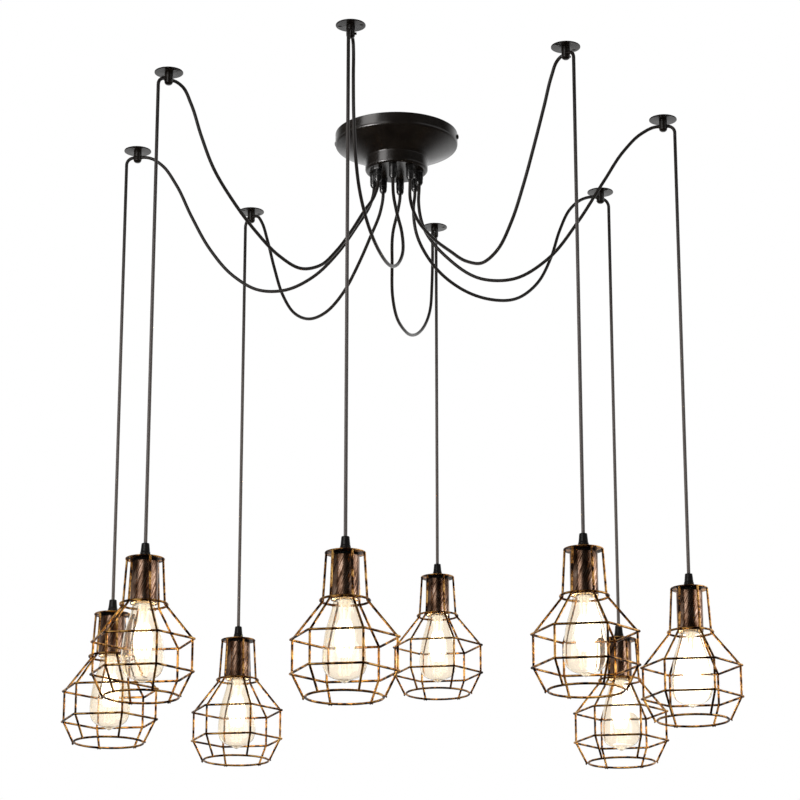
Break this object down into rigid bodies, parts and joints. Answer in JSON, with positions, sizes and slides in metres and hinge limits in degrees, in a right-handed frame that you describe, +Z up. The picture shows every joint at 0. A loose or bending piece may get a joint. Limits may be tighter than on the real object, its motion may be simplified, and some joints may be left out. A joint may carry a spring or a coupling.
{
  "type": "cluster pendant light",
  "caption": "Ceiling pendant light with a round black canopy, swagged cords over ceiling hooks and hexagonal wire cages round clear tapered bulbs.",
  "frame": {"origin": "centre of the canopy in the ceiling plane, on the top face of the mounting strap", "axes": "+Z up into the ceiling, -Y towards the side the picture is taken from, +X to the right there"},
  "size_m": [1.0856, 1.064, 1.0352],
  "materials": {
    "black_metal": "satin black with a warm sheen",
    "black_plastic": "moulded, satin",
    "zinc_steel": "bright zinc plating",
    "antique_copper": "dark antique copper plating, brushed back on edges",
    "cord_cover": "dark sheath with a soft sheen",
    "warm_glass": "clear, lit warm white"
  },
  "bodies": {
    "ceiling_fixture": {"canopy_pan": "black_metal", "mounting_strap": "zinc_steel", "canopy_screw_left": "black_metal", "canopy_screw_right": "black_metal", "ceiling_hook_1": "black_metal", "ceiling_hook_2": "black_metal", "ceiling_hook_3": "black_metal", "ceiling_hook_4": "black_metal", "ceiling_hook_5": "black_metal", "ceiling_hook_6": "black_metal", "ceiling_hook_7": "black_metal", "ceiling_hook_8": "black_metal", "swag_cord_1": "cord_cover", "swag_cord_2": "cord_cover", "swag_cord_3": "cord_cover", "swag_cord_4": "cord_cover", "swag_cord_5": "cord_cover", "swag_cord_6": "cord_cover", "swag_cord_7": "cord_cover", "swag_cord_8": "cord_cover"},
    "pendant_1": {"drop_cord_1": "cord_cover", "strain_relief_1": "black_plastic", "lamp_holder_1": "antique_copper", "cage_1": "antique_copper", "bulb_1": "warm_glass"},
    "pendant_2": {"drop_cord_2": "cord_cover", "strain_relief_2": "black_plastic", "lamp_holder_2": "antique_copper", "cage_2": "antique_copper", "bulb_2": "warm_glass"},
    "pendant_3": {"drop_cord_3": "cord_cover", "strain_relief_3": "black_plastic", "lamp_holder_3": "antique_copper", "cage_3": "antique_copper", "bulb_3": "warm_glass"},
    "pendant_4": {"drop_cord_4": "cord_cover", "strain_relief_4": "black_plastic", "lamp_holder_4": "antique_copper", "cage_4": "antique_copper", "bulb_4": "warm_glass"},
    "pendant_5": {"drop_cord_5": "cord_cover", "strain_relief_5": "black_plastic", "lamp_holder_5": "antique_copper", "cage_5": "antique_copper", "bulb_5": "warm_glass"},
    "pendant_6": {"drop_cord_6": "cord_cover", "strain_relief_6": "black_plastic", "lamp_holder_6": "antique_copper", "cage_6": "antique_copper", "bulb_6": "warm_glass"},
    "pendant_7": {"drop_cord_7": "cord_cover", "strain_relief_7": "black_plastic", "lamp_holder_7": "antique_copper", "cage_7": "antique_copper", "bulb_7": "warm_glass"},
    "pendant_8": {"drop_cord_8": "cord_cover", "strain_relief_8": "black_plastic", "lamp_holder_8": "antique_copper", "cage_8": "antique_copper", "bulb_8": "warm_glass"}
  },
  "joints": [
    {"name": "pendant_swing_1", "type": "hinge", "parent": "ceiling_fixture", "child": "pendant_1", "pos_m": [0.444, 0, -0.0125], "axis": [1, 0, 0], "range_deg": [-10, 10]},
    {"name": "pendant_swing_2", "type": "hinge", "parent": "ceiling_fixture", "child": "pendant_2", "pos_m": [0.314, 0.314, -0.0125], "axis": [0.7071, 0.7071, 0], "range_deg": [-10, 10]},
    {"name": "pendant_swing_3", "type": "hinge", "parent": "ceiling_fixture", "child": "pendant_3", "pos_m": [0, 0.444, -0.0125], "axis": [0, 1, 0], "range_deg": [-10, 10]},
    {"name": "pendant_swing_4", "type": "hinge", "parent": "ceiling_fixture", "child": "pendant_4", "pos_m": [-0.314, 0.314, -0.0125], "axis": [-0.7071, 0.7071, 0], "range_deg": [-10, 10]},
    {"name": "pendant_swing_5", "type": "hinge", "parent": "ceiling_fixture", "child": "pendant_5", "pos_m": [-0.444, 0, -0.0125], "axis": [-1, 0, 0], "range_deg": [-10, 10]},
    {"name": "pendant_swing_6", "type": "hinge", "parent": "ceiling_fixture", "child": "pendant_6", "pos_m": [-0.314, -0.314, -0.0125], "axis": [-0.7071, -0.7071, 0], "range_deg": [-10, 10]},
    {"name": "pendant_swing_7", "type": "hinge", "parent": "ceiling_fixture", "child": "pendant_7", "pos_m": [0, -0.444, -0.0125], "axis": [0, -1, 0], "range_deg": [-10, 10]},
    {"name": "pendant_swing_8", "type": "hinge", "parent": "ceiling_fixture", "child": "pendant_8", "pos_m": [0.314, -0.314, -0.0125], "axis": [0.7071, -0.7071, 0], "range_deg": [-10, 10]}
  ]
}
